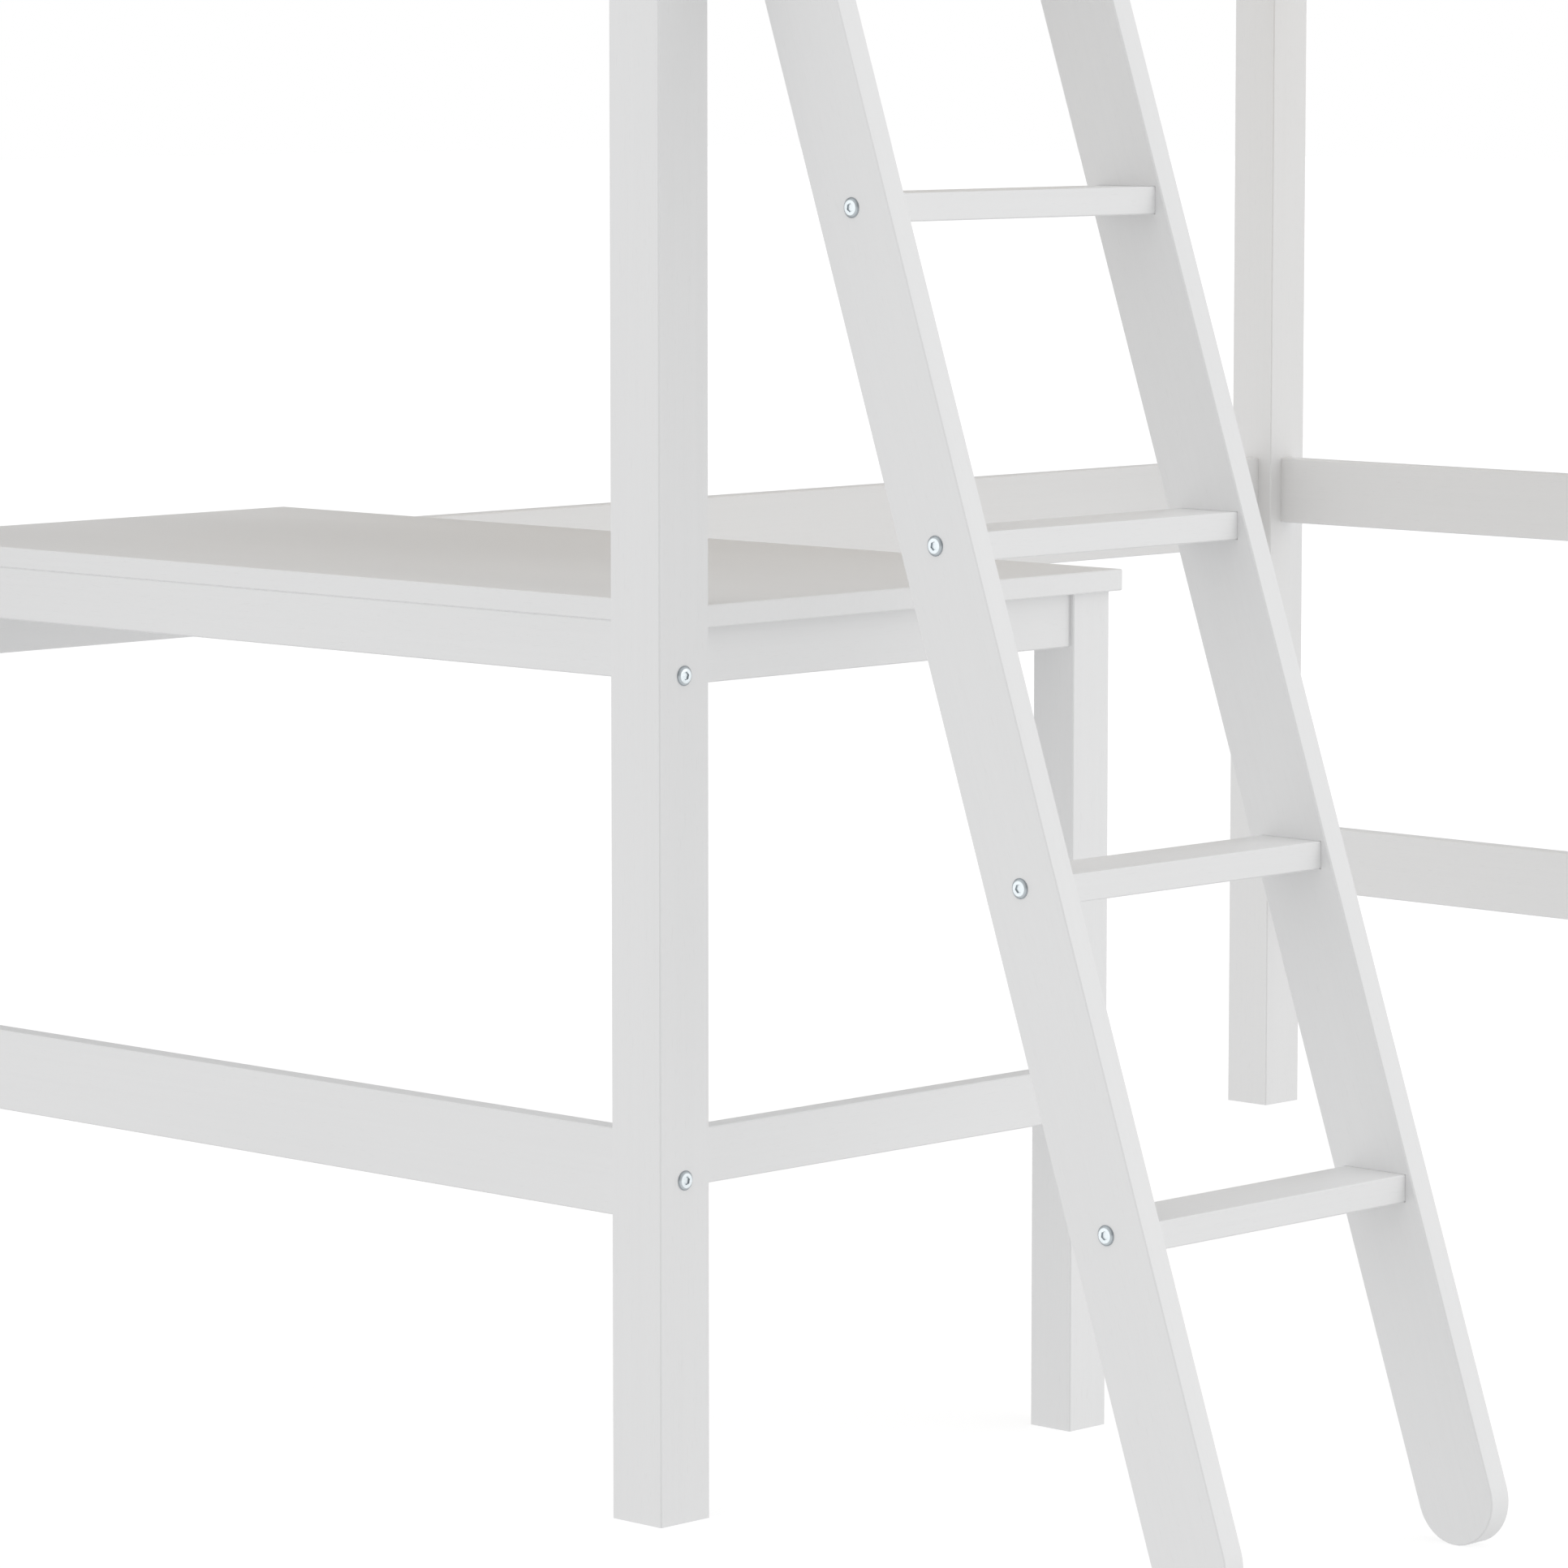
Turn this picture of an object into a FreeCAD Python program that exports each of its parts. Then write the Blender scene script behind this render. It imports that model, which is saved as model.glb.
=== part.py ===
import FreeCAD, Part
import math
import os
import re
from collections import namedtuple

import Sketcher

# Loft bed of painted wood over a built-in desk, with a leaning ladder, in millimetres.
# X runs along the bed, Y from the ladder side to the back and Z up from the floor.
# Formulas count from the front left corner of the bedstead. place() then moves each
# piece so that the origin lies on the floor under the middle of the whole footprint.

SIZES = {
    # Bedstead
    "bed_length": 2015,
    "bed_width": 1081,
    "post_size": 55,
    "post_height": 1800,
    "board_thickness": 20,
    "edge_ease": 1,
    # Rails of the ends and the back
    "end_rail_height": 70,
    "low_rail_bottom": 241,
    "back_rail_height": 96,
    # Stub tenons
    "tenon_length": 12,
    "tenon_shoulder": 8,
    "fit_clearance": 0.1,
    # Bolts
    "bolt_diameter": 6,
    "bolt_clearance": 0.5,
    "bolt_head_diameter": 16,
    "bolt_face_diameter": 11.5,
    "bolt_head_height": 2,
    "bolt_grip": 40,
    # Sleeping deck
    "side_rail_height": 140,
    "cleat_thickness": 20,
    "cleat_height": 30,
    "cleat_lift": 10,
    "slat_width": 80,
    "slat_thickness": 18,
    "slat_end_gap": 3,
    "slat_margin": 15,
    # Guard round the deck
    "guard_rise": 348,
    "guard_height": 96,
    "guard_drop": 15,
    "upright_width": 45,
    "upright_foot": 12,
    # Desk
    "desk_height": 730,
    "desk_top_thickness": 18,
    "desk_depth": 502,
    "desk_front_inset": 8,
    "desk_overhang": 8,
    "desk_leg_size": 45,
    "apron_height": 45,
    "apron_recess": 4,
    # Steel angles that hold the desk to the left posts
    "bracket_height": 20,
    "bracket_thickness": 3,
    "bracket_bend": 4,
    "bracket_edge": 12.5,
    "bracket_bolt_tip": 5,
    # Ladder
    "ladder_lean": 19.1,
    "ladder_clear_width": 298,
    "ladder_side_gap": 15,
    "stringer_thickness": 22,
    "stringer_depth": 74,
    "step_thickness": 22,
    "step_depth": 61,
    "first_step_height": 288,
    "housing_depth": 6,
    "hook_rise": 3,
    "hook_overhang": 1.5,
    "hook_bolt_drop": 35,
}
# The guard keeps its rise over the deck rails, so the deck follows the height of the posts.
FOLLOWING = {"side_rail_bottom": "=post_height - guard_rise - side_rail_height"}
CELLS = SIZES | FOLLOWING
STEP_COUNT = 5
SLAT_COUNT = 14

# Formulas that several pieces share
RAIL_INSET = "((post_size - board_thickness) / 2)"
RAIL_INNER_FACE = f"({RAIL_INSET} + board_thickness)"
INNER_LENGTH = "(bed_length - 2 * post_size)"
INNER_WIDTH = "(bed_width - 2 * post_size)"
DESK_UNDERSIDE = "(desk_height - desk_top_thickness)"
SIDE_RAIL_TOP = "(side_rail_bottom + side_rail_height)"
CLEAT_TOP = "(side_rail_bottom + cleat_lift + cleat_height)"
GUARD_TOP = "(post_height - guard_drop)"
GUARD_GAP = f"(({GUARD_TOP} - {SIDE_RAIL_TOP} - 2 * guard_height) / 2)"
BOLT_BORE = "(bolt_diameter + bolt_clearance)"
MORTISE_DEPTH = "(tenon_length + fit_clearance)"
APRON_BOTTOM = f"({DESK_UNDERSIDE} - apron_height)"
APRON_FACE = "(desk_front_inset + desk_overhang + apron_recess)"
DESK_RIGHT = "(post_size + desk_depth)"
LEG_LEFT = f"({DESK_RIGHT} - desk_overhang - desk_leg_size)"
LEG_FRONT = "(desk_front_inset + desk_overhang)"
BACK_RAIL_FACE = f"(bed_width - {RAIL_INNER_FACE})"
LADDER_LEFT = "(post_size + ladder_side_gap)"
LADDER_WIDTH = "(ladder_clear_width + 2 * stringer_thickness)"
GUARD_START = f"({LADDER_LEFT} + {LADDER_WIDTH} + ladder_side_gap)"

# The rounded ladder foot stands on the floor and the rounded hook lies over the side rail,
# so the lean between them sets how far the foot reaches out.
ROUND = "(stringer_depth / 2)"
HOOK_Y = f"({RAIL_INNER_FACE} + hook_overhang - {ROUND})"
HOOK_RUN = f"({SIDE_RAIL_TOP} + hook_rise - {ROUND})"
FOOT_Y = f"({HOOK_Y} - {HOOK_RUN} * tan(ladder_lean))"
HOOK_BOLT_Z = f"({SIDE_RAIL_TOP} - hook_bolt_drop)"

ORIGIN = (
    "(bed_length / 2)",
    f"((bed_width + bolt_head_height + {FOOT_Y} - {ROUND}) / 2)",
    "0",
)
QUARTER_TURN = 90
FULL_TURN = 360
SHANK_SIDES = 6
LONGEST_SHARE = 0.99

# A rail's lowest edge, its height and, where a bolt holds it, the bolt's height
Rail = namedtuple("Rail", "bottom height bolt inset", defaults=(None, RAIL_INSET))
LOW_RAIL = Rail("low_rail_bottom", "end_rail_height", "(low_rail_bottom + end_rail_height / 2)")
MID_RAIL = Rail(
    f"({DESK_UNDERSIDE} - end_rail_height)",
    "end_rail_height",
    f"({DESK_UNDERSIDE} - end_rail_height / 2)",
)
BACK_RAIL = Rail(f"({DESK_UNDERSIDE} - back_rail_height)", "back_rail_height")
DECK_RAIL = Rail("side_rail_bottom", "side_rail_height")
LOWER_GUARD = Rail(f"({SIDE_RAIL_TOP} + {GUARD_GAP})", "guard_height")
UPPER_GUARD = Rail(f"({GUARD_TOP} - guard_height)", "guard_height")
STRETCHER = Rail(
    "(low_rail_bottom + end_rail_height - apron_height)",
    "apron_height",
    inset=APRON_FACE,
)

doc = FreeCAD.newDocument("loft_bed")
sheet = doc.addObject("Spreadsheet::Sheet", "Sizes")
for row, (alias, content) in enumerate(CELLS.items(), start=1):
    sheet.set(f"A{row}", alias)
    sheet.set(f"B{row}", str(content))
    sheet.setAlias(f"B{row}", alias)
doc.recompute()
nodes = []
rail_bolts = []


# Formulas and sketches
def bound(formula):
    """Return the formula with each size read from the sheet."""
    return re.sub("[a-z_]+", lambda word: f"Sizes.{word[0]}" if word[0] in CELLS else word[0], formula)


def measure(formula):
    """Return what the formula measures at the sheet's sizes."""
    return float(sheet.evalExpression(bound(formula)))


def new_body(label):
    body = doc.addObject("PartDesign::Body", label)
    body.Label = label
    return body


def sketch_on(body, name, role, offset="0"):
    """Start a sketch on one of the body's own planes, moved along the plane's normal."""
    plane = next(feature for feature in body.Origin.OriginFeatures if feature.Role == role)
    sketch = body.newObject("Sketcher::SketchObject", name)
    sketch.AttachmentSupport = [(plane, "")]
    sketch.MapMode = "FlatFace"
    sketch.setExpression("AttachmentOffset.Base.z", bound(offset))
    return sketch


def drive(sketch, constraint, formula):
    """Add a constraint to the sketch and bind its value to the formula."""
    index = sketch.addConstraint(constraint)
    sketch.renameConstraint(index, f"size_{index}")
    sketch.setExpression(f"Constraints.size_{index}", bound(formula))


def hold_point(sketch, geometry, point, across, up):
    drive(sketch, Sketcher.Constraint("DistanceX", geometry, point, measure(across)), across)
    drive(sketch, Sketcher.Constraint("DistanceY", geometry, point, measure(up)), up)


def polygon(sketch, corners):
    """Draw a closed outline through corners that are given as pairs of formulas."""
    first = sketch.GeometryCount
    points = [FreeCAD.Vector(measure(across), measure(up), 0) for across, up in corners]
    for number, point in enumerate(points):
        sketch.addGeometry(Part.LineSegment(point, points[(number + 1) % len(points)]))
    for number in range(len(points)):
        following = first + (number + 1) % len(points)
        sketch.addConstraint(Sketcher.Constraint("Coincident", first + number, 2, following, 1))
    for number, (across, up) in enumerate(corners):
        hold_point(sketch, first + number, 1, across, up)


def circle(sketch, across, up, diameter):
    centre = FreeCAD.Vector(measure(across), measure(up), 0)
    index = sketch.addGeometry(Part.Circle(centre, FreeCAD.Vector(0, 0, 1), measure(diameter) / 2))
    hold_point(sketch, index, 3, across, up)
    drive(sketch, Sketcher.Constraint("Diameter", index, measure(diameter)), diameter)


# Features
def pad(body, sketch, length, reverse=False):
    feature = body.newObject("PartDesign::Pad", "pad")
    feature.Profile = sketch
    feature.Reversed = reverse
    feature.setExpression("Length", bound(length))
    doc.recompute()
    return feature


def pocket(body, sketch, depth, reverse=False):
    feature = body.newObject("PartDesign::Pocket", "pocket")
    feature.Profile = sketch
    feature.Reversed = reverse
    feature.setExpression("Length", bound(depth))
    doc.recompute()
    return feature


def longest_edges(feature):
    longest = max(edge.Length for edge in feature.Shape.Edges)
    return [
        f"Edge{number}"
        for number, edge in enumerate(feature.Shape.Edges, start=1)
        if edge.Length > LONGEST_SHARE * longest
    ]


def ease(body, feature, edges):
    """Take the sharpness off the named edges, as a plane does."""
    chamfer = body.newObject("PartDesign::Chamfer", "eased_edges")
    chamfer.Base = (feature, edges)
    chamfer.setExpression("Size", bound("edge_ease"))
    doc.recompute()


def drill(body, role, offset, centres, depth, reverse=False, diameter=BOLT_BORE):
    sketch = sketch_on(body, "bore_marks", role, offset)
    for across, up in centres:
        circle(sketch, across, up, diameter)
    pocket(body, sketch, depth, reverse)


def recess(body, role, offset, rectangles, depth, reverse=False):
    """Cut rectangles, each given by its low and high corner, to one depth."""
    sketch = sketch_on(body, "recess_marks", role, offset)
    for left, bottom, right, top in rectangles:
        polygon(sketch, [(left, bottom), (right, bottom), (right, top), (left, top)])
    pocket(body, sketch, depth, reverse)


def place(piece, x, y, z, along_y=False):
    """Set a finished piece in its place and list it as a node."""
    turn = QUARTER_TURN if along_y else 0
    piece.Placement = FreeCAD.Placement(
        FreeCAD.Vector(), FreeCAD.Rotation(FreeCAD.Vector(0, 0, 1), turn)
    )
    for axis, formula, origin in zip("xyz", (x, y, z), ORIGIN):
        piece.setExpression(f"Placement.Base.{axis}", bound(f"{formula} - {origin}"))
    nodes.append(piece)


# Stock: a board lies along its own X and stands on its edge, a column stands upright
def board(label, length, height, thickness, tenons=()):
    """Make a board with a stub tenon at each named end."""
    body = new_body(label)
    low, high = "tenon_shoulder", f"({height} - tenon_shoulder)"
    far = f"({length} + tenon_length)"
    start = [("0", high), ("-tenon_length", high), ("-tenon_length", low), ("0", low)]
    end = [(length, low), (far, low), (far, high), (length, high)]
    corners = [("0", "0"), (length, "0")]
    corners += end if "end" in tenons else []
    corners += [(length, height), ("0", height)]
    corners += start if "start" in tenons else []
    outline = sketch_on(body, "outline", "XZ_Plane")
    polygon(outline, corners)
    blank = pad(body, outline, thickness, reverse=True)
    ease(body, blank, longest_edges(blank))
    return body


def column(label, width, depth, height):
    body = new_body(label)
    section = sketch_on(body, "section", "XY_Plane")
    polygon(section, [("0", "0"), (width, "0"), (width, depth), ("0", depth)])
    blank = pad(body, section, height)
    ease(body, blank, longest_edges(blank))
    return body


def mortise(rail, base="0"):
    """Give the low and high corners of the recess that takes the rail's tenon."""
    return (
        f"{rail.inset} - fit_clearance",
        f"{rail.bottom} - {base} + tenon_shoulder - fit_clearance",
        f"{rail.inset} + board_thickness + fit_clearance",
        f"{rail.bottom} - {base} + {rail.height} - tenon_shoulder + fit_clearance",
    )


def bolt_bores(body, length, height):
    """Bore both tenoned ends of a board for a bolt at the given height on the board."""
    centre = [("board_thickness / 2", height)]
    depth = "tenon_length + bolt_grip + bolt_clearance"
    drill(body, "YZ_Plane", "-tenon_length", centre, depth, reverse=True)
    drill(body, "YZ_Plane", f"{length} + tenon_length", centre, depth)


def rail_along_x(label, rail, side):
    """Make a rail between the two front posts or the two back posts."""
    body = board(label, INNER_LENGTH, rail.height, "board_thickness", ("start", "end"))
    y = rail.inset if side == "front" else f"(bed_width - {rail.inset} - board_thickness)"
    place(body, "post_size", y, rail.bottom)
    return body


def rail_along_y(label, rail, side):
    """Make a rail between the two left posts or the two right posts."""
    body = board(label, INNER_WIDTH, rail.height, "board_thickness", ("start", "end"))
    x = rail.inset if side == "left" else f"(bed_length - {rail.inset} - board_thickness)"
    if rail.bolt:
        bolt_bores(body, INNER_WIDTH, f"{rail.bolt} - {rail.bottom}")
        middle = f"({x} + board_thickness / 2)"
        rail_bolts.append((middle, "0", rail.bolt, (0, 1, 0)))
        rail_bolts.append((middle, "bed_width", rail.bolt, (0, -1, 0)))
    place(body, f"{x} + board_thickness", "post_size", rail.bottom, along_y=True)


def post(label, x_side, y_side, x_rails, y_rails, y_bolts=()):
    """Make a corner post, mortised and bored for the rails that meet it."""
    body = column(label, "post_size", "post_size", "post_height")
    left, front = x_side == "left", y_side == "front"
    x_face = "post_size" if left else "0"
    y_face = "-post_size" if front else "0"
    recess(body, "YZ_Plane", x_face, [mortise(rail) for rail in x_rails], MORTISE_DEPTH, not left)
    recess(body, "XZ_Plane", y_face, [mortise(rail) for rail in y_rails], MORTISE_DEPTH, front)
    bores = [("post_size / 2", rail.bolt) for rail in (*y_rails, *y_bolts) if rail.bolt]
    drill(body, "XZ_Plane", y_face, bores, "post_size", front)
    x = "0" if left else "bed_length - post_size"
    y = "0" if front else "bed_width - post_size"
    place(body, x, y, "0")


# Corner posts
guards = (LOWER_GUARD, UPPER_GUARD)
left_rails = (LOW_RAIL, DECK_RAIL, *guards)
right_rails = (LOW_RAIL, MID_RAIL, DECK_RAIL, *guards)
post("post_front_left", "left", "front", (DECK_RAIL, STRETCHER), left_rails, (MID_RAIL,))
post("post_back_left", "left", "back", (DECK_RAIL, BACK_RAIL, *guards), left_rails, (MID_RAIL,))
post("post_front_right", "right", "front", (DECK_RAIL, *guards), right_rails)
post("post_back_right", "right", "back", (DECK_RAIL, BACK_RAIL, *guards), right_rails)

# Rails below the deck
rail_along_y("end_rail_low_left", LOW_RAIL, "left")
rail_along_y("end_rail_low_right", LOW_RAIL, "right")
rail_along_y("end_rail_mid_right", MID_RAIL, "right")
back_rail = rail_along_x("back_rail", BACK_RAIL, "back")

# Rails of the sleeping deck, with the front one bored for the bolts of the ladder's hooks
side_rail = rail_along_x("side_rail_front", DECK_RAIL, "front")
rail_along_x("side_rail_back", DECK_RAIL, "back")
rail_along_y("deck_end_rail_left", DECK_RAIL, "left")
rail_along_y("deck_end_rail_right", DECK_RAIL, "right")

stringer_places = {
    "left": LADDER_LEFT,
    "right": f"({LADDER_LEFT} + stringer_thickness + ladder_clear_width)",
}
hook_bolts = [
    (f"({x} + stringer_thickness / 2)", RAIL_INNER_FACE, HOOK_BOLT_Z, (0, -1, 0))
    for x in stringer_places.values()
]
hook_marks = [(f"{x} - post_size", f"{z} - side_rail_bottom") for x, _, z, _ in hook_bolts]
drill(side_rail, "XZ_Plane", "-board_thickness", hook_marks, "board_thickness", reverse=True)

# Cleats along the side rails, and the slats that lie on them
for side, y in (("front", RAIL_INNER_FACE), ("back", f"({BACK_RAIL_FACE} - cleat_thickness)")):
    cleat = board(f"slat_cleat_{side}", INNER_LENGTH, "cleat_height", "cleat_thickness")
    place(cleat, "post_size", y, "side_rail_bottom + cleat_lift")
slat_length = f"(bed_width - 2 * {RAIL_INNER_FACE} - 2 * slat_end_gap)"
slat_pitch = f"(({INNER_LENGTH} - 2 * slat_margin - slat_width) / {SLAT_COUNT - 1})"
for number in range(SLAT_COUNT):
    slat = board(f"deck_slat_{number + 1:02d}", slat_length, "slat_thickness", "slat_width")
    slat_right = f"post_size + slat_margin + slat_width + {number} * {slat_pitch}"
    place(slat, slat_right, f"{RAIL_INNER_FACE} + slat_end_gap", CLEAT_TOP, along_y=True)

# Guard boards. Those in front stop at the entry over the ladder.
front_guard_length = f"(bed_length - post_size - {GUARD_START})"
for level, guard in zip(("lower", "upper"), guards):
    rail_along_y(f"guard_left_{level}", guard, "left")
    rail_along_y(f"guard_right_{level}", guard, "right")
    rail_along_x(f"guard_back_{level}", guard, "back")
    front = board(
        f"guard_front_{level}", front_guard_length, guard.height, "board_thickness", ("end",)
    )
    place(front, GUARD_START, guard.inset, guard.bottom)

# Uprights that tie the guard boards to the side rails, flush with the posts' outer faces
upright_bottom = "(side_rail_bottom + upright_foot)"
upright_height = f"({GUARD_TOP} - {upright_bottom})"
back_upright_y = f"(bed_width - {RAIL_INSET})"
middle_x = "((bed_length - upright_width) / 2)"
front_middle_x = f"({GUARD_START} + ({front_guard_length} - upright_width) / 2)"
uprights = (
    ("guard_upright_entry", GUARD_START, "0"),
    ("guard_upright_front", front_middle_x, "0"),
    ("guard_upright_back", middle_x, back_upright_y),
)
for label, x, y in uprights:
    upright = column(label, "upright_width", RAIL_INSET, upright_height)
    place(upright, x, y, upright_bottom)

# Desk: the end apron stands against the left posts and the front apron runs to the leg
END_APRON_RIGHT = "(post_size + board_thickness)"
INNER_APRON_LEFT = f"({LEG_LEFT} + desk_leg_size - apron_recess - board_thickness)"
apron = Rail(APRON_BOTTOM, "apron_height", inset="0")
leg_back = f"({LEG_FRONT} + desk_leg_size)"

end_apron_length = f"({BACK_RAIL_FACE} - {APRON_FACE})"
end_apron = board("desk_apron_end", end_apron_length, "apron_height", "board_thickness", ("end",))
front_mortise = mortise(apron, APRON_BOTTOM)
recess(end_apron, "XZ_Plane", "0", [front_mortise], MORTISE_DEPTH)
place(end_apron, END_APRON_RIGHT, APRON_FACE, APRON_BOTTOM, along_y=True)

front_apron_length = f"({LEG_LEFT} - {END_APRON_RIGHT})"
front_apron = board(
    "desk_apron_front", front_apron_length, "apron_height", "board_thickness", ("start", "end")
)
stretcher_length = f"({LEG_LEFT} - post_size)"
stretcher = board(
    "desk_stretcher", stretcher_length, "apron_height", "board_thickness", ("start", "end")
)
place(front_apron, END_APRON_RIGHT, APRON_FACE, APRON_BOTTOM)
place(stretcher, "post_size", APRON_FACE, STRETCHER.bottom)

inner_apron_length = f"({BACK_RAIL_FACE} - {leg_back})"
inner_apron = board(
    "desk_apron_inner", inner_apron_length, "apron_height", "board_thickness", ("start", "end")
)
place(
    inner_apron, f"{INNER_APRON_LEFT} + board_thickness", leg_back, APRON_BOTTOM, along_y=True
)

leg = column("desk_leg", "desk_leg_size", "desk_leg_size", DESK_UNDERSIDE)
leg_face_rails = [
    rail._replace(inset="apron_recess") for rail in (Rail(APRON_BOTTOM, "apron_height"), STRETCHER)
]
recess(leg, "YZ_Plane", "0", [mortise(rail) for rail in leg_face_rails], MORTISE_DEPTH, reverse=True)
inner_rail = apron._replace(inset=f"({INNER_APRON_LEFT} - {LEG_LEFT})")
recess(leg, "XZ_Plane", "-desk_leg_size", [mortise(inner_rail)], MORTISE_DEPTH, reverse=True)
place(leg, LEG_LEFT, LEG_FRONT, "0")

# The back rail takes the tenons of the end apron and the inner apron
back_mortises = [
    mortise(apron._replace(inset=inset), BACK_RAIL.bottom)
    for inset in ("0", f"({INNER_APRON_LEFT} - post_size)")
]
recess(back_rail, "XZ_Plane", "0", back_mortises, MORTISE_DEPTH)

desk_top = new_body("desk_top")
top_outline = sketch_on(desk_top, "outline", "XY_Plane")
desk_length = f"({BACK_RAIL_FACE} + board_thickness - desk_front_inset)"
polygon(
    top_outline,
    [("0", "0"), ("desk_depth", "0"), ("desk_depth", desk_length), ("0", desk_length)],
)
top_blank = pad(desk_top, top_outline, "desk_top_thickness")
ease(desk_top, top_blank, [f"Edge{number + 1}" for number in range(len(top_blank.Shape.Edges))])
place(desk_top, "post_size", "desk_front_inset", DESK_UNDERSIDE)

# Steel angles in the corners between the left posts and the end apron
bracket_leg = "(post_size / 2 + bracket_edge)"
bracket_bolts = []
for side, corner_y, way in (
    ("front", "post_size", 1),
    ("back", "(bed_width - post_size)", -1),
):
    bracket = new_body(f"desk_bracket_{side}")
    profile = sketch_on(bracket, "profile", "XY_Plane")
    inner = f"{way} * bracket_thickness"
    tip = f"{way} * {bracket_leg}"
    polygon(
        profile,
        [
            ("0", "0"),
            ("0", tip),
            ("-bracket_thickness", tip),
            ("-bracket_thickness", inner),
            (f"-{bracket_leg}", inner),
            (f"-{bracket_leg}", "0"),
        ],
    )
    folded = pad(bracket, profile, "bracket_height")
    corner_edges = [
        f"Edge{number}"
        for number, edge in enumerate(folded.Shape.Edges, start=1)
        if edge.BoundBox.ZLength > 0
        and math.hypot(edge.CenterOfMass.x, edge.CenterOfMass.y) < measure("bracket_thickness")
    ]
    bend = bracket.newObject("PartDesign::Fillet", "bend")
    bend.Base = (folded, corner_edges)
    bend.setExpression("Radius", bound("bracket_bend"))
    doc.recompute()
    bolt_mark = ("-post_size / 2", "bracket_height / 2")
    drill(bracket, "XZ_Plane", "0", [bolt_mark], "bracket_thickness", reverse=way < 0)
    place(bracket, "post_size", corner_y, f"{MID_RAIL.bolt} - bracket_height / 2")
    bolt_y = "0" if side == "front" else "bed_width"
    bracket_bolts.append(("post_size / 2", bolt_y, MID_RAIL.bolt, (0, way, 0)))

# Ladder: steps housed in two stringers with rounded feet and hooks over the side rail
step_rise = f"((side_rail_bottom - first_step_height) / {STEP_COUNT - 1})"
step_middles = [
    f"(first_step_height + {number} * {step_rise} - step_thickness / 2 - {ROUND})"
    for number in range(STEP_COUNT)
]


def housing(middle):
    """Give the corners of a step's housing, counted from the centre of the rounded foot."""
    across = f"{middle} * tan(ladder_lean)"
    return (
        f"{across} - step_depth / 2 - fit_clearance",
        f"{middle} - step_thickness / 2 - fit_clearance",
        f"{across} + step_depth / 2 + fit_clearance",
        f"{middle} + step_thickness / 2 + fit_clearance",
    )


def stringer_outline(sketch):
    """Draw two straight edges and two half circles, from the foot's centre to the hook's."""
    lean = math.radians(measure("ladder_lean"))
    radius = measure(ROUND)
    run = measure(HOOK_RUN)
    foot, hook = FreeCAD.Vector(), FreeCAD.Vector(run * math.tan(lean), run, 0)
    back = FreeCAD.Vector(math.cos(lean), -math.sin(lean), 0) * radius
    beyond = FreeCAD.Vector(math.sin(lean), math.cos(lean), 0) * radius
    back_edge = sketch.addGeometry(Part.LineSegment(foot + back, hook + back))
    hook_end = sketch.addGeometry(Part.Arc(hook + back, hook + beyond, hook - back))
    front_edge = sketch.addGeometry(Part.LineSegment(hook - back, foot - back))
    foot_end = sketch.addGeometry(Part.Arc(foot - back, foot - beyond, foot + back))
    loop = (back_edge, hook_end, front_edge, foot_end)
    for number, edge in enumerate(loop):
        sketch.addConstraint(Sketcher.Constraint("Tangent", edge, 2, loop[(number + 1) % len(loop)], 1))
    sketch.addConstraint(Sketcher.Constraint("Equal", hook_end, foot_end))
    sketch.addConstraint(Sketcher.Constraint("Coincident", foot_end, 3, -1, 1))
    drive(sketch, Sketcher.Constraint("Radius", foot_end, radius), ROUND)
    hold_point(sketch, hook_end, 3, f"{HOOK_RUN} * tan(ladder_lean)", HOOK_RUN)


rail_face = f"({RAIL_INSET} - {FOOT_Y})"
hook_seat = f"({SIDE_RAIL_TOP} - {ROUND})"
step_bores = [(f"{middle} * tan(ladder_lean)", middle) for middle in step_middles]
for side, x in stringer_places.items():
    stringer = new_body(f"ladder_stringer_{side}")
    outline = sketch_on(stringer, "outline", "YZ_Plane")
    stringer_outline(outline)
    plank = pad(stringer, outline, "stringer_thickness")
    rims = [
        f"Edge{number}"
        for number, edge in enumerate(plank.Shape.Edges, start=1)
        if edge.BoundBox.YLength > 0
    ]
    ease(stringer, plank, rims)
    inner_face, outward = ("stringer_thickness", False) if side == "left" else ("0", True)
    recess(
        stringer,
        "YZ_Plane",
        inner_face,
        [housing(middle) for middle in step_middles],
        "housing_depth",
        outward,
    )
    drill(stringer, "YZ_Plane", inner_face, step_bores, "stringer_thickness", outward)
    notch = (rail_face, f"{hook_seat} - side_rail_height", f"{rail_face} + stringer_depth", hook_seat)
    recess(stringer, "YZ_Plane", "stringer_thickness", [notch], "stringer_thickness")
    hook_mark = ("stringer_thickness / 2", f"{HOOK_BOLT_Z} - {ROUND}")
    drill(stringer, "XZ_Plane", f"-{rail_face}", [hook_mark], "bolt_grip + bolt_clearance", reverse=True)
    place(stringer, x, FOOT_Y, ROUND)

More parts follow.
